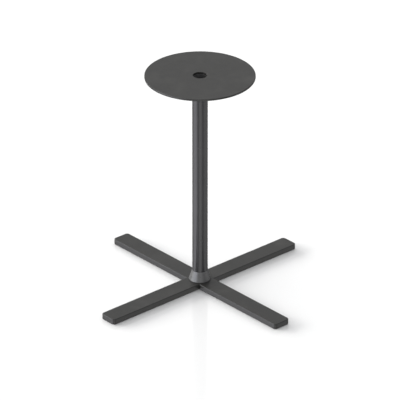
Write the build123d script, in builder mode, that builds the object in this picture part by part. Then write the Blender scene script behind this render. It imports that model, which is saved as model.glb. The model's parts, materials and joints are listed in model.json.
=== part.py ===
from build123d import *
import os

# Pedestal table base: a round top plate on a tube column that stands on a flat-bar cross.
# Everything is clamped by one tie rod inside the column. Millimetres, +Z up.
# Origin: on the floor, under the column's axis. The two bars lie along X and Y.

# ---------------------------------------------------------------- driving dimensions
TOTAL_HEIGHT = 720.0        # floor to the top plate's upper face
PLATE_DIAMETER = 340.0
PLATE_THICKNESS = 6.0
PLATE_HOLE_DIAMETER = 44.0  # spanner access to the tie rod's nut

TUBE_DIAMETER = 48.3        # standard 1 1/2 inch pipe size
TUBE_WALL = 2.6

BAR_SPAN = 760.0            # tip to tip
BAR_WIDTH = 60.0
BAR_THICKNESS = 18.0
BAR_CORNER_RADIUS = 10.0
BAR_EDGE_RADIUS = 2.0

COLLAR_BOTTOM_RADIUS = 34.5
COLLAR_TOP_RADIUS = 24.7
COLLAR_HEIGHT = 31.2
GASKET_THICKNESS = 0.6

FOOT_SHOWING = 1.0          # height of foot seen under a bar when it is screwed right in
FOOT_INSET = 32.0           # bar tip to foot axis

# ---------------------------------------------------------------- heights that follow from them
BAR_BOTTOM = FOOT_SHOWING
BAR_TOP = BAR_BOTTOM + BAR_THICKNESS
LAP_HEIGHT = BAR_BOTTOM + BAR_THICKNESS / 2
PLATE_BOTTOM = TOTAL_HEIGHT - PLATE_THICKNESS
TUBE_RADIUS = TUBE_DIAMETER / 2
TUBE_BORE_RADIUS = TUBE_RADIUS - TUBE_WALL
HOLE_RADIUS = PLATE_HOLE_DIAMETER / 2
SLIP = 0.1                  # radial room where a tube or spigot slips into its seat
THREAD_ROOM = 0.05          # radial room between a plain shank and its tapped hole

# ---------------------------------------------------------------- plate rims
PLATE_RIM_RADIUS = 1.0
PLATE_HOLE_CHAMFER = 0.4

# ---------------------------------------------------------------- hub welded under the plate
HUB_RADIUS = 30.0
HUB_RECESS_DEPTH = 28.0
HUB_WEB = 8.0
HUB_SOCKET_DEPTH = 20.0
HUB_EDGE = 1.5
WEB_TOP = PLATE_BOTTOM - HUB_RECESS_DEPTH
WEB_BOTTOM = WEB_TOP - HUB_WEB
HUB_BOTTOM = WEB_BOTTOM - HUB_SOCKET_DEPTH

# ---------------------------------------------------------------- tie rod and its hardware, M10
ROD_RADIUS = 5.0
ROD_CHAMFER = 1.0
ROD_BELOW_SURFACE = 16.0    # rod end under the plate's upper face
ROD_HOLE_RADIUS = 5.5
WASHER_RADIUS = 10.0
WASHER_THICKNESS = 2.0
LOCK_WASHER_RADIUS = 9.0
LOCK_WASHER_THICKNESS = 2.2
LOCK_WASHER_SPLIT = 1.6
NUT_ACROSS_FLATS = 16.0
NUT_CORNER_RADIUS = 9.3
NUT_CHAMFER = 0.8
NUT_HEIGHT = 8.4
NUT_BOTTOM = WEB_TOP + WASHER_THICKNESS + LOCK_WASHER_THICKNESS
NUT_TOP = NUT_BOTTOM + NUT_HEIGHT
ROD_TOP = TOTAL_HEIGHT - ROD_BELOW_SURFACE

# ---------------------------------------------------------------- spigot on the crossing
FLANGE_RADIUS = 27.0
FLANGE_THICKNESS = 12.0
FLANGE_EDGE = 0.8
SPIGOT_LENGTH = 40.0
SPIGOT_LEAD = 2.0
ROD_TAPPING_ROOM = 3.0      # tapped depth left under the rod's lower end
FLANGE_TOP = BAR_TOP + FLANGE_THICKNESS
SPIGOT_TOP = FLANGE_TOP + SPIGOT_LENGTH
ROD_BOTTOM = FLANGE_TOP

# ---------------------------------------------------------------- collar, gasket and M4 grub screw
COLLAR_ROOM = 0.15          # radial room around the tube
COLLAR_COUNTERBORE_RADIUS = 28.0
COLLAR_EDGE = 0.4
COLLAR_BOTTOM = BAR_TOP + GASKET_THICKNESS
COLLAR_TOP = COLLAR_BOTTOM + COLLAR_HEIGHT
COLLAR_STEP = FLANGE_TOP + 1.0
GASKET_INSET = 0.8
GRUB_RADIUS = 2.0
GRUB_LENGTH = 4.0
GRUB_HEIGHT = 38.0
GRUB_KEY_ACROSS_FLATS = 2.0
GRUB_KEY_DEPTH = 2.0
GRUB_ANGLE = 135.0          # degrees about Z, over the corner between the -X and +Y arms

# ---------------------------------------------------------------- screws under the crossing, M6 x 20
SCREW_RADIUS = 3.0
SCREW_LENGTH = 20.0
SCREW_HEAD_RADIUS = 5.0
SCREW_HEAD_HEIGHT = 6.0
SCREW_HEAD_EDGE = 0.6
SCREW_KEY_ACROSS_FLATS = 5.0
SCREW_KEY_DEPTH = 3.0
SCREW_HOLE_RADIUS = 3.3
SCREW_COUNTERBORE_RADIUS = 5.5
SCREW_COUNTERBORE_DEPTH = 6.4
SCREW_CIRCLE_RADIUS = 20.0
SCREW_COUNT = 4
SCREW_START_ANGLE = 45.0
SCREW_SEAT = BAR_BOTTOM + SCREW_COUNTERBORE_DEPTH

# ---------------------------------------------------------------- levelling feet, M8
FOOT_COUNTERBORE_RADIUS = 17.0
FOOT_COUNTERBORE_DEPTH = 5.0
PAD_RADIUS = 15.0
PAD_BOTTOM = 0.6
PAD_TOP = 5.4
PAD_EDGE = 0.8
PAD_GRIP_COUNT = 20
PAD_GRIP_RADIUS = 1.0
STUD_RADIUS = 4.0
STUD_HEAD_BOTTOM = 3.0
STUD_HEAD_HEIGHT = 2.0
STUD_HEAD_ACROSS_FLATS = 13.0
STUD_TOP = 16.0
STUD_CHAMFER = 0.8
STUD_HOLE_TOP = 16.6
SOLE_RADIUS = 12.5
SOLE_THICKNESS = 1.6
SOLE_EDGE = 0.5
SOLE_PIVOT_RADIUS = 3.0
SOLE_PIVOT_HEIGHT = 1.0
SOLE_ROOM = 0.3             # radial room around the sole in the pad
PIVOT_ROOM = 0.08           # running clearance of the sole's pivot
FILM = 0.05                 # gap between the facing flats of sole and pad
FOOT_REACH = BAR_SPAN / 2 - FOOT_INSET
FOOT_ANGLES = {"right": 0.0, "back": 90.0, "left": 180.0, "front": 270.0}

os.makedirs("parts", exist_ok=True)


def save(builder, name):
    """Label a finished piece and write it as its node's STEP file."""
    builder.part.label = name
    export_step(builder.part, f"parts/{name}.step")


def foot_plane(angle, height):
    """A horizontal plane at this height, centred on the foot at this angle about Z."""
    across = Vector(FOOT_REACH, 0, 0).rotate(Axis.Z, angle)
    return Plane(origin=(across.X, across.Y, height))


def ring(plane, radius, hole_radius=0.0):
    """A round profile on a plane, with a hole where a radius is given for one."""
    with BuildSketch(plane) as profile:
        Circle(radius)
        if hole_radius:
            Circle(hole_radius, mode=Mode.SUBTRACT)
    return profile.sketch


def hexagon(plane, across_flats):
    """A hexagonal profile on a plane."""
    with BuildSketch(plane) as profile:
        RegularPolygon(across_flats / 2, 6, major_radius=False)
    return profile.sketch


def screw_ring(height, radius):
    """One round profile at each of the screws under the crossing."""
    with BuildSketch(Plane.XY.offset(height)) as profile:
        with PolarLocations(SCREW_CIRCLE_RADIUS, SCREW_COUNT, start_angle=SCREW_START_ANGLE):
            Circle(radius)
    return profile.sketch


# ---------------------------------------------------------------- top plate
with BuildPart() as top_plate:
    with BuildSketch(Plane.XY.offset(PLATE_BOTTOM)):
        Circle(PLATE_DIAMETER / 2)
        Circle(HOLE_RADIUS, mode=Mode.SUBTRACT)
    extrude(amount=PLATE_THICKNESS)
    hole_rims = top_plate.edges().filter_by(GeomType.CIRCLE).group_by(SortBy.RADIUS)[0]
    chamfer(hole_rims.sort_by(Axis.Z)[-1], PLATE_HOLE_CHAMFER)
    outer_rims = top_plate.edges().filter_by(GeomType.CIRCLE).group_by(SortBy.RADIUS)[-1]
    fillet(outer_rims, PLATE_RIM_RADIUS)
save(top_plate, "top_plate")

# ---------------------------------------------------------------- hub: nut recess, web, tube socket
with BuildPart() as top_hub:
    extrude(ring(Plane.XY.offset(HUB_BOTTOM), HUB_RADIUS), amount=PLATE_BOTTOM - HUB_BOTTOM)
    chamfer(top_hub.edges().sort_by(Axis.Z)[0], HUB_EDGE)
    nut_recess = ring(Plane.XY.offset(WEB_TOP), HOLE_RADIUS)
    extrude(nut_recess, amount=HUB_RECESS_DEPTH, mode=Mode.SUBTRACT)
    rod_hole = ring(Plane.XY.offset(WEB_BOTTOM), ROD_HOLE_RADIUS)
    extrude(rod_hole, amount=HUB_WEB, mode=Mode.SUBTRACT)
    tube_socket = ring(Plane.XY.offset(HUB_BOTTOM), TUBE_RADIUS + SLIP)
    extrude(tube_socket, amount=HUB_SOCKET_DEPTH, mode=Mode.SUBTRACT)
save(top_hub, "top_hub")

# ---------------------------------------------------------------- column, flange to hub web
with BuildPart() as column_tube:
    tube_wall = ring(Plane.XY.offset(FLANGE_TOP), TUBE_RADIUS, TUBE_BORE_RADIUS)
    extrude(tube_wall, amount=WEB_BOTTOM - FLANGE_TOP)
save(column_tube, "column_tube")

# ---------------------------------------------------------------- tie rod at its outer diameter
with BuildPart() as tie_rod:
    extrude(ring(Plane.XY.offset(ROD_BOTTOM), ROD_RADIUS), amount=ROD_TOP - ROD_BOTTOM)
    chamfer(tie_rod.edges().filter_by(GeomType.CIRCLE), ROD_CHAMFER)
save(tie_rod, "tie_rod")

# ---------------------------------------------------------------- plain and spring washers, nut
with BuildPart() as top_washer:
    washer_face = ring(Plane.XY.offset(WEB_TOP), WASHER_RADIUS, ROD_HOLE_RADIUS)
    extrude(washer_face, amount=WASHER_THICKNESS)
save(top_washer, "top_washer")

with BuildPart() as top_lock_washer:
    with BuildSketch(Plane.XY.offset(WEB_TOP + WASHER_THICKNESS)):
        Circle(LOCK_WASHER_RADIUS)
        Circle(ROD_HOLE_RADIUS, mode=Mode.SUBTRACT)
        with Locations((LOCK_WASHER_RADIUS, 0)):
            Rectangle(LOCK_WASHER_RADIUS, LOCK_WASHER_SPLIT, mode=Mode.SUBTRACT)
    extrude(amount=LOCK_WASHER_THICKNESS)
save(top_lock_washer, "top_lock_washer")

with BuildPart() as top_nut:
    extrude(hexagon(Plane.XY.offset(NUT_BOTTOM), NUT_ACROSS_FLATS), amount=NUT_HEIGHT)
    with BuildSketch(Plane.XZ):
        with BuildLine():
            Polyline(
                (0, NUT_BOTTOM),
                (NUT_ACROSS_FLATS / 2, NUT_BOTTOM),
                (NUT_CORNER_RADIUS, NUT_BOTTOM + NUT_CHAMFER),
                (NUT_CORNER_RADIUS, NUT_TOP - NUT_CHAMFER),
                (NUT_ACROSS_FLATS / 2, NUT_TOP),
                (0, NUT_TOP),
                close=True,
            )
        make_face()
    revolve(axis=Axis.Z, mode=Mode.INTERSECT)
    nut_thread = ring(Plane.XY.offset(NUT_BOTTOM), ROD_RADIUS + THREAD_ROOM)
    extrude(nut_thread, amount=NUT_HEIGHT, mode=Mode.SUBTRACT)
save(top_nut, "top_nut")

# ---------------------------------------------------------------- spigot: flange, plug, tapped holes
with BuildPart() as base_spigot:
    extrude(ring(Plane.XY.offset(BAR_TOP), FLANGE_RADIUS), amount=FLANGE_THICKNESS)
    chamfer(base_spigot.edges().sort_by(Axis.Z)[-1], FLANGE_EDGE)
    plug = ring(Plane.XY.offset(FLANGE_TOP), TUBE_BORE_RADIUS - SLIP)
    extrude(plug, amount=SPIGOT_LENGTH)
    chamfer(base_spigot.edges().sort_by(Axis.Z)[-1], SPIGOT_LEAD)
    rod_thread = ring(Plane.XY.offset(SPIGOT_TOP), ROD_RADIUS + THREAD_ROOM)
    extrude(rod_thread, amount=ROD_BOTTOM - ROD_TAPPING_ROOM - SPIGOT_TOP, mode=Mode.SUBTRACT)
    screw_threads = screw_ring(BAR_TOP, SCREW_RADIUS + THREAD_ROOM)
    extrude(screw_threads, amount=FLANGE_THICKNESS, mode=Mode.SUBTRACT)
save(base_spigot, "base_spigot")

# ---------------------------------------------------------------- conical collar and its gasket
grub_direction = Vector(1, 0, 0).rotate(Axis.Z, GRUB_ANGLE)
with BuildPart() as cone_collar:
    with BuildSketch(Plane.XZ):
        with BuildLine():
            Polyline(
                (TUBE_RADIUS + COLLAR_ROOM, COLLAR_TOP),
                (COLLAR_TOP_RADIUS, COLLAR_TOP),
                (COLLAR_BOTTOM_RADIUS, COLLAR_BOTTOM + COLLAR_EDGE),
                (COLLAR_BOTTOM_RADIUS - COLLAR_EDGE, COLLAR_BOTTOM),
                (COLLAR_COUNTERBORE_RADIUS, COLLAR_BOTTOM),
                (COLLAR_COUNTERBORE_RADIUS, COLLAR_STEP),
                (TUBE_RADIUS + COLLAR_ROOM, COLLAR_STEP),
                close=True,
            )
        make_face()
    revolve(axis=Axis.Z)
    grub_plane = Plane(origin=(0, 0, GRUB_HEIGHT), z_dir=grub_direction)
    grub_thread = ring(grub_plane, GRUB_RADIUS + THREAD_ROOM)
    extrude(grub_thread, amount=COLLAR_BOTTOM_RADIUS, mode=Mode.SUBTRACT)
save(cone_collar, "cone_collar")

with BuildPart() as collar_gasket:
    gasket_radius = COLLAR_BOTTOM_RADIUS - GASKET_INSET
    gasket_face = ring(Plane.XY.offset(BAR_TOP), gasket_radius, COLLAR_COUNTERBORE_RADIUS)
    extrude(gasket_face, amount=GASKET_THICKNESS)
save(collar_gasket, "collar_gasket")

with BuildPart() as collar_grub_screw:
    grub_start = grub_direction * TUBE_RADIUS + Vector(0, 0, GRUB_HEIGHT)
    grub_end = grub_direction * (TUBE_RADIUS + GRUB_LENGTH) + Vector(0, 0, GRUB_HEIGHT)
    grub_face = ring(Plane(origin=grub_start, z_dir=grub_direction), GRUB_RADIUS)
    extrude(grub_face, amount=GRUB_LENGTH)
    grub_key = hexagon(Plane(origin=grub_end, z_dir=grub_direction), GRUB_KEY_ACROSS_FLATS)
    extrude(grub_key, amount=-GRUB_KEY_DEPTH, mode=Mode.SUBTRACT)
save(collar_grub_screw, "collar_grub_screw")


# ---------------------------------------------------------------- bars of the cross, halved at the lap
def cross_bar(along_x):
    """One flat bar of the cross; the bar along X is notched from above, the other from below."""
    length, width = (BAR_SPAN, BAR_WIDTH) if along_x else (BAR_WIDTH, BAR_SPAN)
    notch_bottom = LAP_HEIGHT if along_x else BAR_BOTTOM
    with BuildPart() as bar:
        with BuildSketch(Plane.XY.offset(BAR_BOTTOM)):
            RectangleRounded(length, width, BAR_CORNER_RADIUS)
        extrude(amount=BAR_THICKNESS)
        fillet(bar.faces().filter_by(Axis.Z).edges(), BAR_EDGE_RADIUS)
        # The edges stay square across the lap, so that the two bars close flush there.
        with BuildSketch(Plane.XY.offset(BAR_BOTTOM)):
            Rectangle(BAR_WIDTH, BAR_WIDTH)
        extrude(amount=BAR_THICKNESS)
        with BuildSketch(Plane.XY.offset(notch_bottom)):
            Rectangle(BAR_WIDTH, BAR_WIDTH)
        extrude(amount=BAR_THICKNESS / 2, mode=Mode.SUBTRACT)
        screw_holes = screw_ring(BAR_BOTTOM, SCREW_HOLE_RADIUS)
        extrude(screw_holes, amount=BAR_THICKNESS, mode=Mode.SUBTRACT)
        head_recesses = screw_ring(BAR_BOTTOM, SCREW_COUNTERBORE_RADIUS)
        extrude(head_recesses, amount=SCREW_COUNTERBORE_DEPTH, mode=Mode.SUBTRACT)
        for angle in FOOT_ANGLES.values():
            under_foot = foot_plane(angle, BAR_BOTTOM)
            pad_recess = ring(under_foot, FOOT_COUNTERBORE_RADIUS)
            stud_thread = ring(under_foot, STUD_RADIUS + THREAD_ROOM)
            if (angle % 180 == 0) == along_x:
                extrude(pad_recess, amount=FOOT_COUNTERBORE_DEPTH, mode=Mode.SUBTRACT)
                extrude(stud_thread, amount=STUD_HOLE_TOP - BAR_BOTTOM, mode=Mode.SUBTRACT)
    return bar


cross_bar_x = cross_bar(along_x=True)
save(cross_bar_x, "cross_bar_x")
cross_bar_y = cross_bar(along_x=False)
save(cross_bar_y, "cross_bar_y")

# ---------------------------------------------------------------- four socket screws from below
with BuildPart() as base_screws:
    head_bottom = SCREW_SEAT - SCREW_HEAD_HEIGHT
    extrude(screw_ring(head_bottom, SCREW_HEAD_RADIUS), amount=SCREW_HEAD_HEIGHT)
    chamfer(base_screws.edges().group_by(Axis.Z)[0], SCREW_HEAD_EDGE)
    extrude(screw_ring(SCREW_SEAT, SCREW_RADIUS), amount=SCREW_LENGTH)
    with BuildSketch(Plane.XY.offset(head_bottom)):
        with PolarLocations(SCREW_CIRCLE_RADIUS, SCREW_COUNT, start_angle=SCREW_START_ANGLE):
            RegularPolygon(SCREW_KEY_ACROSS_FLATS / 2, 6, major_radius=False)
    extrude(amount=SCREW_KEY_DEPTH, mode=Mode.SUBTRACT)
save(base_screws, "base_screws")


# ---------------------------------------------------------------- levelling feet
def foot_stud(angle):
    """Threaded stud with the hexagonal head that the pad is moulded around."""
    head_plane = foot_plane(angle, STUD_HEAD_BOTTOM)
    with BuildPart() as stud:
        extrude(hexagon(head_plane, STUD_HEAD_ACROSS_FLATS), amount=STUD_HEAD_HEIGHT)
        extrude(ring(head_plane, STUD_RADIUS), amount=STUD_TOP - STUD_HEAD_BOTTOM)
        chamfer(stud.edges().sort_by(Axis.Z)[-1], STUD_CHAMFER)
    return stud


def foot_pad(angle):
    """Nylon pad with a notched grip rim; the stud's head sits inside, the sole underneath."""
    base_plane = foot_plane(angle, PAD_BOTTOM)
    head_plane = foot_plane(angle, STUD_HEAD_BOTTOM)
    sole_recess = ring(base_plane, SOLE_RADIUS + SOLE_ROOM)
    pivot_hole = ring(base_plane, SOLE_PIVOT_RADIUS + PIVOT_ROOM)
    pivot_top = SOLE_THICKNESS + SOLE_PIVOT_HEIGHT + FILM
    head_seat = hexagon(head_plane, STUD_HEAD_ACROSS_FLATS)
    with BuildPart() as pad:
        with BuildSketch(base_plane):
            Circle(PAD_RADIUS)
            with PolarLocations(PAD_RADIUS, PAD_GRIP_COUNT):
                Circle(PAD_GRIP_RADIUS, mode=Mode.SUBTRACT)
        extrude(amount=PAD_TOP - PAD_BOTTOM)
        chamfer(pad.edges().group_by(Axis.Z)[-1], PAD_EDGE)
        extrude(sole_recess, amount=SOLE_THICKNESS + FILM - PAD_BOTTOM, mode=Mode.SUBTRACT)
        extrude(pivot_hole, amount=pivot_top - PAD_BOTTOM, mode=Mode.SUBTRACT)
        extrude(head_seat, amount=STUD_HEAD_HEIGHT, mode=Mode.SUBTRACT)
        extrude(ring(head_plane, STUD_RADIUS), amount=PAD_TOP - STUD_HEAD_BOTTOM, mode=Mode.SUBTRACT)
    return pad


def foot_sole(angle):
    """Rubber sole that stays still on the floor while the pad turns on its pivot."""
    with BuildPart() as sole:
        extrude(ring(foot_plane(angle, 0), SOLE_RADIUS), amount=SOLE_THICKNESS)
        chamfer(sole.edges().sort_by(Axis.Z)[0], SOLE_EDGE)
        pivot = ring(foot_plane(angle, SOLE_THICKNESS), SOLE_PIVOT_RADIUS)
        extrude(pivot, amount=SOLE_PIVOT_HEIGHT)
    return sole


for place, place_angle in FOOT_ANGLES.items():
    save(foot_stud(place_angle), f"foot_stud_{place}")
    save(foot_pad(place_angle), f"foot_pad_{place}")
    save(foot_sole(place_angle), f"foot_sole_{place}")
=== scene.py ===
import json
import math

import bmesh
import bpy
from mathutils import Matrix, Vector


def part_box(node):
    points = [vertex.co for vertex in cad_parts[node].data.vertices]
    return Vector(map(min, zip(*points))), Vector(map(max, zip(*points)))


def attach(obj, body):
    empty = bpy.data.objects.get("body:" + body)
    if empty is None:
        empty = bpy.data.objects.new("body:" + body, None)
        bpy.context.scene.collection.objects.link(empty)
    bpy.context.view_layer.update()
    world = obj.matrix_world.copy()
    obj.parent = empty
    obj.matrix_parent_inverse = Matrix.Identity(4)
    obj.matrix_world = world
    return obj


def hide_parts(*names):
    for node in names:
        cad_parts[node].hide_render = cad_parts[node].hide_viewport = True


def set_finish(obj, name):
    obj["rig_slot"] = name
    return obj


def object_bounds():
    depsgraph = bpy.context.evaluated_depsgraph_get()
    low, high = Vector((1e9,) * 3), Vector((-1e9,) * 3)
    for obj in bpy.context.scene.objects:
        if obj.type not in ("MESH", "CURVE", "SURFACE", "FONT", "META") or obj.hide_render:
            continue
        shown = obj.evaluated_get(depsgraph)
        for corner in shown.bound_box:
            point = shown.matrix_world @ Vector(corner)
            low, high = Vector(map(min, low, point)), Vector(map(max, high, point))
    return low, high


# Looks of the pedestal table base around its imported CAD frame: camera, studio light, the pieces
# whose fine shape is made here (threads, soles, the hub's weld) and one material for each slot.
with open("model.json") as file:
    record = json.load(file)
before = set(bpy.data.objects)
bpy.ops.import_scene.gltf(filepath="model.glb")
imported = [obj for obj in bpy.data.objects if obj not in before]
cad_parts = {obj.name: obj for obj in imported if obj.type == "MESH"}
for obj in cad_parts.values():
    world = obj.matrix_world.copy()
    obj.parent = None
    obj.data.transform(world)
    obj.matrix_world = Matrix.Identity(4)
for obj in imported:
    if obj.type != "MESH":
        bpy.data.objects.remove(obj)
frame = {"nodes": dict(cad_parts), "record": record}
cad_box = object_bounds()

MM = 0.001
UP = (0.0, 0.0, 1.0)
LEVEL_PART = (1.0, 1.0, 0.0)    # of a direction
FOOT_PLACES = ("right", "back", "left", "front")

# ---------------------------------------------------------------- view
CAMERA_AZIMUTH = 48.38      # degrees; 0 looks along +Y
CAMERA_ELEVATION = 27.0
CAMERA_DISTANCE = 15.0      # metres, a long lens from far away
CAMERA_LENS = 438.0         # millimetres
SENSOR_WIDTH = 36.0         # millimetres
AIM_BELOW_MIDDLE = 0.0605   # metres that the view is aimed below the object's middle
CLIP_NEAR = 0.1             # metres
CLIP_FAR = 200.0

# ---------------------------------------------------------------- light
# Turns are degrees to the right of the camera's side of the object. Half widths and soft edges are
# degrees too. A height is the vertical part of a unit direction, so 0 is the horizon.
WHITE = (1.0, 1.0, 1.0)
DOME_RADIANCE = 0.82        # what matt surfaces see all round
DOME_COLOUR = (0.985, 0.99, 1.0)
STRIP_TURN = -118.0         # the low strip light that casts the soft shadows
STRIP_HALF_WIDTH = 35.0
STRIP_SOFT = 18.0
STRIP_BOTTOM = 4.0          # its elevations, degrees
STRIP_TOP = 22.0
STRIP_EDGE_SHARE = 1 / 6    # soft edge at its top and bottom, as a share of its height
STRIP_RADIANCE = 17.5
STRIP_COLOUR = (1.0, 0.995, 0.98)
SHINE_TURN = -70.0          # the patch that polished surfaces see in the strip's stead
SHINE_HALF_WIDTH = 30.0
SHINE_SOFT = 18.0
SHINE_FADE_IN = (-0.05, 0.1)    # heights between which it starts and ends
SHINE_FADE_OUT = (0.5, 0.3)
SHINE_RADIANCE = 4.6
SHINE_COLOUR = (0.95, 0.98, 1.06)
GLOSS_BASE = 0.45           # what polished surfaces see between the banks, below the horizon
GLOSS_UP = 0.69             # and above it, where the banks show only weakly
GLOSS_UP_SHARE = 0.75
GLOSS_UP_DIM = 0.30         # the darker stretch above the horizon, on the camera's right
DIM_TURN = 76.0
DIM_HALF_WIDTH = 24.0
DIM_SOFT = 16.0
HORIZON_FADE = 0.12         # one gives way to the other between this height below 0 and above it
# Light banks that show only in reflections: turn, half width, soft edge, radiance added and colour.
# The last one takes light away.
GLOSS_BANKS = (
    (-70.0, 27.0, 9.0, 1.65, (0.98, 0.975, 1.06)),
    (6.0, 18.0, 9.0, 1.05, WHITE),
    (79.0, 15.0, 9.0, 0.50, WHITE),
    (150.0, 40.0, 14.0, -0.36, WHITE),
)

# ---------------------------------------------------------------- floor
FLOOR_REACH = 40.0          # metres from the middle to each corner
FLOOR_COLOUR = (0.905, 0.905, 0.905)
FLOOR_ROUGHNESS = 0.06
FLOOR_IOR = 1.9             # a polished floor, which mirrors the column faintly
FLOOR_HAZE_SIZE = 0.35      # metres
FLOOR_SHADES = (0.997, 1.003)
FLAP_WIDTH = 80.0 * MM      # each quarter of the floor runs on under its neighbours, sloping down
FLAP_DROP = 0.5 * MM

# ---------------------------------------------------------------- fine shapes, metres
SEGMENTS = 48               # points around every turned shape
SHARP_ANGLE = 40.0          # degrees between two faces past which their edge stays sharp
THREAD_ROWS = 12            # rings for each turn of a thread
THREAD_CREST = 0.15         # half the flat crest and one flank, as shares of half the pitch
THREAD_FLANK = 0.6
END_CHAMFER = 0.9 * MM
ROD_PITCH = 1.5 * MM        # M10
ROD_THREAD_DEPTH = 0.92 * MM
ROD_THREAD_LENGTH = 40.0 * MM
STUD_RADIUS = 4.0 * MM
STUD_PITCH = 1.25 * MM      # M8
STUD_THREAD_DEPTH = 0.77 * MM
STUD_HEAD_HEIGHT = 2.0 * MM
STUD_HEAD_APOTHEM = 6.5 * MM
STUD_HEAD_BEVEL = 0.25 * MM
SOLE_THICKNESS = 1.6 * MM
SOLE_EDGE = 0.5 * MM
SOLE_PIVOT_RADIUS = 3.0 * MM
SOLE_PIVOT_EDGE = 0.3 * MM
SOLE_DIMPLE_RADIUS = 0.4 * MM
SOLE_GROOVE_DEPTH = 0.5 * MM
SOLE_GROOVES = (4.6 * MM, 7.2 * MM, 9.8 * MM)
SOLE_GROOVE_HALF_WIDTH = 0.45 * MM
SOLE_GROOVE_FLOOR = 0.6     # width of a groove's floor as a share of its mouth
WELD_LEG = 4.0 * MM
WELD_SUNK = 0.3 * MM        # how far the bead reaches into the plate and the hub
WELD_RIPPLES = 96
WELD_RIPPLE_STEPS = 3       # sections for each ripple
WELD_RIPPLE_SWELL = 0.035   # shares of the leg
WELD_HAND_SWELL = 0.05      # slow swell of a bead laid by hand, in WELD_HAND_WAVES waves
WELD_HAND_WAVES = 7.0
WELD_FACE_STEPS = 6
WELD_TOE = 0.72             # shares of the leg that shape the bead's face
WELD_REACH = 0.98
WELD_BULGE = 0.12

# ---------------------------------------------------------------- finishes
# Sizes are of the noise's features, in metres. A pair of levels says where on the noise, or on a
# cosine between two directions, a patch starts and where it is full. A pair of shades gives the
# darkest and the palest colour as shares of the base colour.
SOFT_LEVELS = (0.3, 0.7)
COAT_IOR = 1.5              # paint, nylon and rubber
METAL_IOR = 1.45
EDGE_LEVELS = (0.96, 0.8)   # between the true and the bevelled direction of a face
EDGE_SAMPLES = 6
DUST_UP_LEVELS = (0.85, 1.0)    # between a face's direction and straight up
DUST_SIZE = 70.0 * MM
DUST_LEVELS = (0.45, 0.8)
DUST_AMOUNT = 0.05
DUST_ROUGHNESS = 0.05
DUST_COLOUR = (0.32, 0.31, 0.29)
COAT_SIZE = 55.0 * MM       # clouds in a coat's colour
COAT_SHADES = (0.93, 1.07)
FLECK_SIZE = 0.9 * MM       # paler grains of powder
FLECK_LEVELS = (0.62, 0.75)
FLECK_AMOUNT = 0.22
FLECK_SHADE = 1.9
WEAR_EDGE = 1.4 * MM        # a coat worn thin on its edges
WEAR_SIZE = 9.0 * MM
WEAR_LEVELS = (0.4, 0.62)
WEAR_AMOUNT = 0.55
WEAR_SHADE = 2.1
PATCH_SIZE = 28.0 * MM      # duller and glossier patches of a coat
PATCH_ROUGHNESS = 0.035
PEEL_SIZE = 3.2 * MM        # orange peel
METAL_SIZE = 6.0 * MM       # tarnish
METAL_LEVELS = (0.35, 0.7)
METAL_SHADES = (0.82, 1.04)
METAL_HIGHLIGHT_EDGE = 0.3 * MM       # painted highlight: every edge paler
METAL_HIGHLIGHT_AMOUNT = 0.5
METAL_HIGHLIGHT_SHADE = 1.3
MARK_SIZE = 0.5 * MM        # drawing or turning marks
MARK_DEPTH = 0.012 * MM
MARK_ROUGHNESS = (-0.07, 0.09)  # added at the marks' low and high ends
MOULDED_SIZE = 11.0 * MM
MOULDED_SHADES = (0.85, 1.15)
MOULDED_PATCH_SIZE = 4.0 * MM
MOULDED_ROUGHNESS = 0.06
SCUFF_EDGE = 0.5 * MM
SCUFF_SIZE = 3.0 * MM
SCUFF_LEVELS = (0.35, 0.65)
SCUFF_COLOUR = (0.16, 0.16, 0.155)


# ================================================================ view and light
def link_new(name, data):
    """A new object with this data, in the scene."""
    thing = bpy.data.objects.new(name, data)
    bpy.context.scene.collection.objects.link(thing)
    return thing


def turned(turn, elevation=0.0):
    """Unit vector at this turn to the right of the camera's side of the object."""
    a = math.radians(CAMERA_AZIMUTH + turn)
    e = math.radians(elevation)
    return Vector((math.sin(a) * math.cos(e), -math.cos(a) * math.cos(e), math.sin(e)))


def make_camera():
    """A long lens at the view's angle, aimed a little below the object's middle."""
    azimuth = math.radians(CAMERA_AZIMUTH)
    back = turned(0.0, CAMERA_ELEVATION)
    right = Vector((math.cos(azimuth), math.sin(azimuth), 0.0))
    up = back.cross(right)
    middle = Vector((0.0, 0.0, (cad_box[0].z + cad_box[1].z) / 2))
    place = middle + back * CAMERA_DISTANCE
    aim = middle - up * AIM_BELOW_MIDDLE
    data = bpy.data.cameras.new("camera")
    data.lens = CAMERA_LENS
    data.sensor_width = SENSOR_WIDTH
    data.clip_start = CLIP_NEAR
    data.clip_end = CLIP_FAR
    camera = link_new("camera", data)
    camera.rotation_mode = "QUATERNION"
    camera.location = place
    camera.rotation_quaternion = (aim - place).to_track_quat("-Z", "Y")
    bpy.context.scene.camera = camera


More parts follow.
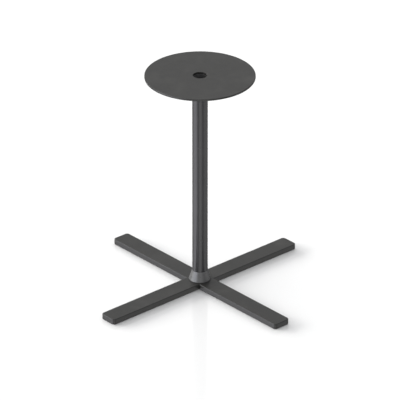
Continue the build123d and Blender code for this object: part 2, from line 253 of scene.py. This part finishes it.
class Graph:
    """Adds the nodes of one shader tree and links them."""

    def __init__(self, tree):
        self.tree = tree
        tree.nodes.clear()

    def add(self, kind, inputs=None, **settings):
        """A new node. An input that is given a socket is linked to it, any other gets a value."""
        node = self.tree.nodes.new("ShaderNode" + kind)
        for name, value in settings.items():
            setattr(node, name, value)
        for name, value in (inputs or {}).items():
            if isinstance(value, bpy.types.NodeSocket):
                self.tree.links.new(value, node.inputs[name])
            else:
                node.inputs[name].default_value = value
        return node

    def math(self, operation, a, b):
        return self.add("Math", {0: a, 1: b}, operation=operation).outputs[0]

    def dot(self, a, b):
        return self.add("VectorMath", {0: a, 1: b}, operation="DOT_PRODUCT").outputs["Value"]

    def ramp(self, value, low, high, to_low=0.0, to_high=1.0):
        """A smooth step of value from low to high."""
        inputs = {"Value": value, "From Min": low, "From Max": high}
        inputs.update({"To Min": to_low, "To Max": to_high})
        return self.add("MapRange", inputs, interpolation_type="SMOOTHSTEP").outputs["Result"]

    def mix(self, factor, a, b, blend="MIX"):
        """Colour a turning into colour b; 6, 7 and 2 are the node's colour sockets."""
        node = self.add("Mix", {0: factor, 6: a, 7: b}, data_type="RGBA", blend_type=blend)
        return node.outputs[2]

    def noise(self, size, detail=2.0, roughness=0.5, stretch=None):
        """Noise whose features are about size metres across, fixed to the piece."""
        where = self.add("TexCoord").outputs["Object"]
        if stretch:
            where = self.add("Mapping", {"Vector": where, "Scale": stretch}).outputs[0]
        inputs = {"Vector": where, "Scale": 1.0 / size, "Detail": detail, "Roughness": roughness}
        return self.add("TexNoise", inputs).outputs["Fac"]


def rgba(colour, factor=1.0):
    """A colour as four numbers, brighter or darker by a factor."""
    return tuple(c * factor for c in colour) + (1.0,)


def turn_share(g, level, turn, half_width, soft):
    """1 where a level direction lies within half_width of this turn, with a soft edge."""
    outer = math.cos(math.radians(min(half_width + soft, 180.0)))
    inner = math.cos(math.radians(max(half_width - soft, 0.0)))
    return g.ramp(g.dot(level, turned(turn)), outer, inner)


def matt_light(g, level, height):
    """What matt surfaces see: the dome, and the low strip that casts the soft shadows."""
    bottom, top = math.sin(math.radians(STRIP_BOTTOM)), math.sin(math.radians(STRIP_TOP))
    edge = (top - bottom) * STRIP_EDGE_SHARE
    strip = turn_share(g, level, STRIP_TURN, STRIP_HALF_WIDTH, STRIP_SOFT)
    strip = g.math("MULTIPLY", strip, g.ramp(height, bottom - edge, bottom + edge))
    strip = g.math("MULTIPLY", strip, g.ramp(height, top + edge, top - edge))
    return g.mix(strip, rgba(DOME_COLOUR, DOME_RADIANCE), rgba(STRIP_COLOUR, STRIP_RADIANCE))


def polished_light(g, level, height):
    """What polished surfaces see: the banks, weaker above the horizon, and the shine."""
    light = rgba(WHITE, GLOSS_BASE)
    for turn, half_width, soft, radiance, colour in GLOSS_BANKS:
        share = turn_share(g, level, turn, half_width, soft)
        lit = g.mix(1.0, light, rgba(colour, radiance), "ADD")
        light = g.mix(share, light, lit)
    dim = turn_share(g, level, DIM_TURN, DIM_HALF_WIDTH, DIM_SOFT)
    upper = g.mix(dim, rgba(WHITE, GLOSS_UP), rgba(WHITE, GLOSS_UP_DIM))
    above = g.ramp(height, -HORIZON_FADE, HORIZON_FADE, 0.0, GLOSS_UP_SHARE)
    light = g.mix(above, light, upper)
    shine = turn_share(g, level, SHINE_TURN, SHINE_HALF_WIDTH, SHINE_SOFT)
    shine = g.math("MULTIPLY", shine, g.ramp(height, *SHINE_FADE_IN))
    shine = g.math("MULTIPLY", shine, g.ramp(height, *SHINE_FADE_OUT))
    return g.mix(shine, light, rgba(SHINE_COLOUR, SHINE_RADIANCE))


def make_world():
    """White to the camera, one light to matt surfaces and another to polished ones."""
    world = bpy.data.worlds.new("studio")
    bpy.context.scene.world = world
    world.use_nodes = True
    g = Graph(world.node_tree)
    direction = g.add("TexCoord").outputs["Generated"]
    height = g.dot(direction, UP)
    flat = g.add("VectorMath", {0: direction, 1: LEVEL_PART}, operation="MULTIPLY")
    level = g.add("VectorMath", {0: flat.outputs[0]}, operation="NORMALIZE").outputs[0]
    matt = matt_light(g, level, height)
    polished = polished_light(g, level, height)
    path = g.add("LightPath")
    seen = g.mix(path.outputs["Is Glossy Ray"], matt, polished)
    seen = g.mix(path.outputs["Is Camera Ray"], seen, rgba(WHITE))
    background = g.add("Background", {"Color": seen, "Strength": 1.0})
    g.add("OutputWorld", {"Surface": background.outputs[0]})
    bpy.context.scene.view_settings.view_transform = "Standard"


# ================================================================ meshes
def skin(name, rings, wrap=False):
    """A smooth mesh through rings of equally many points, in order, with its sharp edges kept. Its
    ends are closed, or its last ring joins its first."""
    mesh = bpy.data.meshes.new(name)
    bm = bmesh.new()
    rows = [[bm.verts.new(point) for point in ring] for ring in rings]
    pairs = list(zip(rows, rows[1:]))
    if wrap:
        pairs.append((rows[-1], rows[0]))
    for low, high in pairs:
        count = len(low)
        for i in range(count):
            j = (i + 1) % count
            bm.faces.new((low[i], low[j], high[j], high[i]))
    if not wrap:
        bm.faces.new(tuple(reversed(rows[0])))
        bm.faces.new(tuple(rows[-1]))
    bmesh.ops.recalc_face_normals(bm, faces=bm.faces)
    bm.to_mesh(mesh)
    bm.free()
    mesh.shade_smooth()
    mesh.set_sharp_from_angle(angle=math.radians(SHARP_ANGLE))
    return link_new(name, mesh)


def circle(centre, radius, height):
    """A ring of points; radius is a number or a function of the angle."""
    points = []
    for i in range(SEGMENTS):
        angle = 2 * math.pi * i / SEGMENTS
        r = radius(angle) if callable(radius) else radius
        points.append((centre.x + r * math.cos(angle), centre.y + r * math.sin(angle), height))
    return points


def node_axis(node):
    """A node's vertical axis, as a point on it, with its lowest and highest level."""
    low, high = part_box(node)
    return (low + high) / 2, low.z, high.z


def node_radius(node):
    """The outer radius of a round node."""
    low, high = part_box(node)
    return (high.x - low.x) / 2


def thread(centre, low, high, radius, pitch, depth):
    """Rings of a right-hand thread between two levels: flat crests at radius, 60-degree flanks."""
    rows = max(2, round((high - low) / pitch * THREAD_ROWS))
    rings = []
    for row in range(rows + 1):
        z = low + (high - low) * row / rows
        run_in = min(1.0, (z - low) / pitch)

        def at(angle, z=z, run_in=run_in):
            phase = (z / pitch - angle / (2 * math.pi)) % 1.0
            from_crest = 2 * min(phase, 1.0 - phase)
            cut = min(1.0, max(0.0, (from_crest - THREAD_CREST) / THREAD_FLANK))
            return radius - depth * cut * run_in

        rings.append(circle(centre, at, z))
    return rings


def threaded_end(centre, low, high, radius, pitch, depth):
    """A thread that ends in a chamfered tip at the top."""
    rings = thread(centre, low, high - END_CHAMFER, radius, pitch, depth)
    last = rings[-1]
    for step in (0.5, 1.0):
        limit = radius - END_CHAMFER * step
        ring = []
        for x, y, _ in last:
            reach = math.hypot(x - centre.x, y - centre.y)
            pull = min(1.0, limit / reach)
            ring.append((centre.x + (x - centre.x) * pull, centre.y + (y - centre.y) * pull,
                         high - END_CHAMFER * (1 - step)))
        rings.append(ring)
    return rings


def hexagon(apothem):
    """Radius of a hexagon at an angle, with its corners on the angle's sixths."""
    def radius(angle):
        sixth = math.pi / 3
        return apothem / math.cos((angle % sixth) - sixth / 2)
    return radius


def stand_for(piece, node, body, slot):
    """The piece rides on the node's body in its place, with the node's finish."""
    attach(piece, body)
    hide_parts(node)
    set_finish(piece, slot)


def make_tie_rod():
    """The M10 rod with its rolled thread at the top end, where the nut sits."""
    centre, low, high = node_axis("tie_rod")
    radius = node_radius("tie_rod")
    start = high - ROD_THREAD_LENGTH
    shank = radius - ROD_THREAD_DEPTH / 2
    rings = [circle(centre, shank - END_CHAMFER, low), circle(centre, shank, low + END_CHAMFER)]
    rings += [circle(centre, shank, start - ROD_PITCH / 2)]
    rings += threaded_end(centre, start, high, radius, ROD_PITCH, ROD_THREAD_DEPTH)
    rod = skin("tie_rod_threaded", rings)
    stand_for(rod, "tie_rod", "root", "zinc_steel")
    return rod


def make_foot_stud(place):
    """The M8 stud of a levelling foot: hexagonal head, then thread to its tip."""
    node = f"foot_stud_{place}"
    centre, low, high = node_axis(node)
    head_top = low + STUD_HEAD_HEIGHT
    full, bevelled = hexagon(STUD_HEAD_APOTHEM), hexagon(STUD_HEAD_APOTHEM - STUD_HEAD_BEVEL)
    rings = [circle(centre, bevelled, low)]
    rings += [circle(centre, full, low + STUD_HEAD_BEVEL)]
    rings += [circle(centre, full, head_top - STUD_HEAD_BEVEL)]
    rings += [circle(centre, bevelled, head_top)]
    rings += [circle(centre, STUD_RADIUS - STUD_THREAD_DEPTH / 2, head_top)]
    rings += threaded_end(centre, head_top + STUD_PITCH / 2, high, STUD_RADIUS, STUD_PITCH,
                          STUD_THREAD_DEPTH)
    stud = skin(f"foot_stud_threaded_{place}", rings)
    stand_for(stud, node, f"screw_foot_{place}", "zinc_steel")
    return stud


def make_foot_sole(place):
    """The rubber sole with its moulded rings underneath and its pivot on top."""
    node = f"foot_sole_{place}"
    centre, low, high = node_axis(node)
    radius = node_radius(node)
    floor_half = SOLE_GROOVE_HALF_WIDTH * SOLE_GROOVE_FLOOR
    outline = [(SOLE_DIMPLE_RADIUS, low)]
    for groove in SOLE_GROOVES:
        outline += [(groove - SOLE_GROOVE_HALF_WIDTH, low)]
        outline += [(groove - floor_half, low + SOLE_GROOVE_DEPTH)]
        outline += [(groove + floor_half, low + SOLE_GROOVE_DEPTH)]
        outline += [(groove + SOLE_GROOVE_HALF_WIDTH, low)]
    # A rounded edge underneath, and a smaller one on top.
    near, small = SOLE_EDGE * 0.3, SOLE_EDGE * 0.4
    top = low + SOLE_THICKNESS
    outline += [(radius - SOLE_EDGE, low), (radius - near, low + near), (radius, low + SOLE_EDGE)]
    outline += [(radius, top - small), (radius - small, top), (SOLE_PIVOT_RADIUS, top)]
    outline += [(SOLE_PIVOT_RADIUS, high - SOLE_PIVOT_EDGE)]
    outline += [(SOLE_PIVOT_RADIUS - SOLE_PIVOT_EDGE, high)]
    rings = [circle(centre, r, z) for r, z in outline]
    sole = skin(f"foot_sole_ringed_{place}", rings)
    stand_for(sole, node, f"sole_{place}", "black_rubber")
    return sole


def make_hub_weld():
    """The fillet weld between the plate and its hub, laid in small overlapping ripples."""
    radius = node_radius("top_hub")
    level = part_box("top_plate")[0].z
    sections = WELD_RIPPLES * WELD_RIPPLE_STEPS
    rings = []
    for i in range(sections):
        angle = 2 * math.pi * i / sections
        ripple = WELD_RIPPLE_SWELL * math.cos(angle * WELD_RIPPLES)
        hand = WELD_HAND_SWELL * math.sin(angle * WELD_HAND_WAVES)
        leg = WELD_LEG * (1.0 + ripple + hand)
        section = [(radius - WELD_SUNK, level + WELD_SUNK), (radius - WELD_SUNK, level - leg)]
        for step in range(WELD_FACE_STEPS + 1):
            share = step / WELD_FACE_STEPS
            turn = math.pi / 2 * share
            bulge = WELD_BULGE * math.sin(2 * turn) * leg
            out = leg * math.sin(turn) * WELD_REACH * (WELD_TOE + (1 - WELD_TOE) * share) + bulge
            down = leg * math.cos(turn) * (WELD_TOE + (1 - WELD_TOE) * (1 - share)) + bulge
            section.append((radius + out, level - down))
        section.append((radius + leg, level + WELD_SUNK))
        ring = []
        for r, z in section:
            ring.append((r * math.cos(angle), r * math.sin(angle), z))
        rings.append(ring)
    weld = skin("hub_weld", rings, wrap=True)
    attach(weld, "root")
    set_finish(weld, "powder_coat")
    return weld


# ================================================================ materials
def edge_mask(g, radius):
    """1 on outer edges and corners, 0 on flats: where coats wear, and where metal gets its painted
    highlight.
    """
    rounded = g.add("Bevel", {"Radius": radius}, samples=EDGE_SAMPLES).outputs["Normal"]
    true = g.add("NewGeometry").outputs["True Normal"]
    return g.ramp(g.dot(rounded, true), *EDGE_LEVELS)


def dust_mask(g):
    """Patches of settled dust on faces that look up."""
    normal = g.add("NewGeometry").outputs["True Normal"]
    up = g.ramp(g.dot(normal, UP), *DUST_UP_LEVELS)
    return g.math("MULTIPLY", up, g.ramp(g.noise(DUST_SIZE, 5.0, 0.65), *DUST_LEVELS))


def shaded(g, share, colour, shades):
    """A colour that varies between two shades of itself."""
    return g.mix(share, rgba(colour, shades[0]), rgba(colour, shades[1]))


def over(g, mask, amount, body, colour):
    """Another colour over the body where the mask is 1, up to this amount."""
    return g.mix(g.math("MULTIPLY", mask, amount), body, colour)


def finish_material(g, colour, roughness, normal, metallic, ior):
    """The Principled shader at the end of a graph."""
    inputs = {"Base Color": colour, "Roughness": roughness, "Normal": normal}
    inputs.update({"Metallic": metallic, "IOR": ior})
    shader = g.add("BsdfPrincipled", inputs)
    g.add("OutputMaterial", {"Surface": shader.outputs[0]})


def bump(g, height, distance, under=None):
    """The direction of a surface raised by height, over another bump if one is given."""
    inputs = {"Height": height, "Distance": distance, "Strength": 1.0}
    if under is not None:
        inputs["Normal"] = under
    return g.add("Bump", inputs).outputs[0]


def new_material(name):
    material = bpy.data.materials.new(name)
    material.use_nodes = True
    return material, Graph(material.node_tree)


def coat(name, colour, rough, grain, grain_height, peel_height, metallic=0.0):
    """Powder coat: fine grain over a soft orange peel, thin on edges, with a little dust."""
    material, g = new_material(name)
    body = shaded(g, g.ramp(g.noise(COAT_SIZE, 4.0, 0.6), *SOFT_LEVELS), colour, COAT_SHADES)
    fleck = g.ramp(g.noise(FLECK_SIZE, 1.0), *FLECK_LEVELS)
    body = over(g, fleck, FLECK_AMOUNT, body, rgba(colour, FLECK_SHADE))
    patchy = g.ramp(g.noise(WEAR_SIZE, 4.0, 0.7), *WEAR_LEVELS)
    wear = g.math("MULTIPLY", edge_mask(g, WEAR_EDGE), patchy)
    body = over(g, wear, WEAR_AMOUNT, body, rgba(colour, WEAR_SHADE))
    dust = dust_mask(g)
    body = over(g, dust, DUST_AMOUNT, body, rgba(DUST_COLOUR))
    patches = g.ramp(g.noise(PATCH_SIZE, 5.0, 0.6), *SOFT_LEVELS,
                     rough - PATCH_ROUGHNESS, rough + PATCH_ROUGHNESS)
    roughness = g.math("ADD", patches, g.math("MULTIPLY", dust, DUST_ROUGHNESS))
    peel = bump(g, g.noise(PEEL_SIZE, 1.0), peel_height)
    normal = bump(g, g.noise(grain, 2.0, 0.6), grain_height, peel)
    finish_material(g, body, roughness, normal, metallic, COAT_IOR)
    return material


def metal(name, colour, rough, stretch):
    """Bare or plated steel: drawing or turning marks, faint tarnish, every edge paler as a painted
    highlight.
    """
    material, g = new_material(name)
    body = shaded(g, g.ramp(g.noise(METAL_SIZE, 4.0, 0.6), *METAL_LEVELS), colour, METAL_SHADES)
    # Painted highlight: every edge of the metal is paler, as if it caught the light.
    edges = edge_mask(g, METAL_HIGHLIGHT_EDGE)
    body = over(g, edges, METAL_HIGHLIGHT_AMOUNT, body, rgba(colour, METAL_HIGHLIGHT_SHADE))
    marks = g.noise(MARK_SIZE, 3.0, 0.6, stretch)
    low, high = MARK_ROUGHNESS
    roughness = g.ramp(marks, *SOFT_LEVELS, rough + low, rough + high)
    finish_material(g, body, roughness, bump(g, marks, MARK_DEPTH), 1.0, METAL_IOR)
    return material


def moulded(name, colour, rough, grain, height, scuff):
    """Moulded nylon or rubber: fine spark grain, scuffed paler along its edges."""
    material, g = new_material(name)
    clouds = g.ramp(g.noise(MOULDED_SIZE, 3.0, 0.6), *SOFT_LEVELS)
    body = shaded(g, clouds, colour, MOULDED_SHADES)
    patchy = g.ramp(g.noise(SCUFF_SIZE, 4.0, 0.7), *SCUFF_LEVELS)
    rub = g.math("MULTIPLY", edge_mask(g, SCUFF_EDGE), patchy)
    body = over(g, rub, scuff, body, rgba(SCUFF_COLOUR))
    roughness = g.ramp(g.noise(MOULDED_PATCH_SIZE, 4.0, 0.6), *SOFT_LEVELS,
                       rough - MOULDED_ROUGHNESS, rough + MOULDED_ROUGHNESS)
    normal = bump(g, g.noise(grain, 2.0, 0.6), height)
    finish_material(g, body, roughness, normal, 0.0, COAT_IOR)
    return material


# ================================================================ floor
def make_floor():
    """A plain pale floor in four quarters; each rides on a sole, so the base stands on it at any
    pose. Seen from below it is clear, so that the underside shows. Each quarter has a flap along
    both straight edges, under its neighbours, so that no gap shows when one is lower."""
    material, g = new_material("floor")
    colour = shaded(g, g.noise(FLOOR_HAZE_SIZE, 3.0, 0.5), FLOOR_COLOUR, FLOOR_SHADES)
    inputs = {"Base Color": colour, "Roughness": FLOOR_ROUGHNESS, "IOR": FLOOR_IOR}
    shader = g.add("BsdfPrincipled", inputs)
    clear = g.add("BsdfTransparent")
    below = g.add("NewGeometry").outputs["Backfacing"]
    both = g.add("MixShader", {0: below, 1: shader.outputs[0], 2: clear.outputs[0]})
    g.add("OutputMaterial", {"Surface": both.outputs[0]})
    for place in FOOT_PLACES:
        centre, level, _ = node_axis(f"foot_sole_{place}")
        out = Vector((centre.x, centre.y, 0.0)).normalized()
        side = Vector((-out.y, out.x, 0.0))
        middle = Vector((0.0, 0.0, level))
        points = [middle]
        for way in (-1.0, 1.0):
            corner = middle + (out + side * way) * FLOOR_REACH
            past = (side * way - out).normalized() * FLAP_WIDTH - Vector((0.0, 0.0, FLAP_DROP))
            points += [corner, corner + past, middle + past]
        mesh = bpy.data.meshes.new(f"floor_{place}")
        mesh.from_pydata(points, [], [(0, 1, 4), (0, 3, 2, 1), (0, 4, 5, 6)])
        mesh.materials.append(material)
        quarter = link_new(f"floor_{place}", mesh)
        quarter.visible_glossy = False
        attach(quarter, f"sole_{place}")


# ================================================================ the whole scene
def make_materials():
    """One material for each slot of the record."""
    return {
        "powder_coat": coat("powder_coat", (0.0160, 0.0158, 0.0148), rough=0.35, grain=0.55 * MM,
                            grain_height=0.03 * MM, peel_height=0.02 * MM),
        "column_coat": coat("column_coat", (0.038, 0.0375, 0.040), rough=0.24, grain=0.5 * MM,
                            grain_height=0.004 * MM, peel_height=0.008 * MM),
        "collar_coat": coat("collar_coat", (0.110, 0.110, 0.112), rough=0.3, grain=0.5 * MM,
                            grain_height=0.004 * MM, peel_height=0.006 * MM, metallic=0.35),
        "zinc_steel": metal("zinc_steel", (0.50, 0.51, 0.53), rough=0.32, stretch=(1.0, 1.0, 0.1)),
        "bare_steel": metal("bare_steel", (0.42, 0.42, 0.43), rough=0.36, stretch=(1.0, 1.0, 6.0)),
        "black_screw": metal("black_screw", (0.05, 0.05, 0.055), rough=0.38,
                             stretch=(1.0, 1.0, 1.0)),
        "black_nylon": moulded("black_nylon", (0.022, 0.022, 0.023), rough=0.5, grain=0.5 * MM,
                               height=0.02 * MM, scuff=0.12),
        "black_rubber": moulded("black_rubber", (0.018, 0.018, 0.018), rough=0.7, grain=0.4 * MM,
                                height=0.02 * MM, scuff=0.15),
    }


def dress(materials, made):
    """Every shown piece gets its slot's material."""
    slots = {row["node"]: row["material_slot"] for row in frame["record"]["subparts"]}
    for node, piece in frame["nodes"].items():
        piece.data.materials.clear()
        piece.data.materials.append(materials[slots[node]])
    for piece in made:
        piece.data.materials.append(materials[piece["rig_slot"]])


make_camera()
make_world()
make_floor()
pieces = [make_tie_rod(), make_hub_weld()]
pieces += [make_foot_stud(place) for place in FOOT_PLACES]
pieces += [make_foot_sole(place) for place in FOOT_PLACES]
dress(make_materials(), pieces)
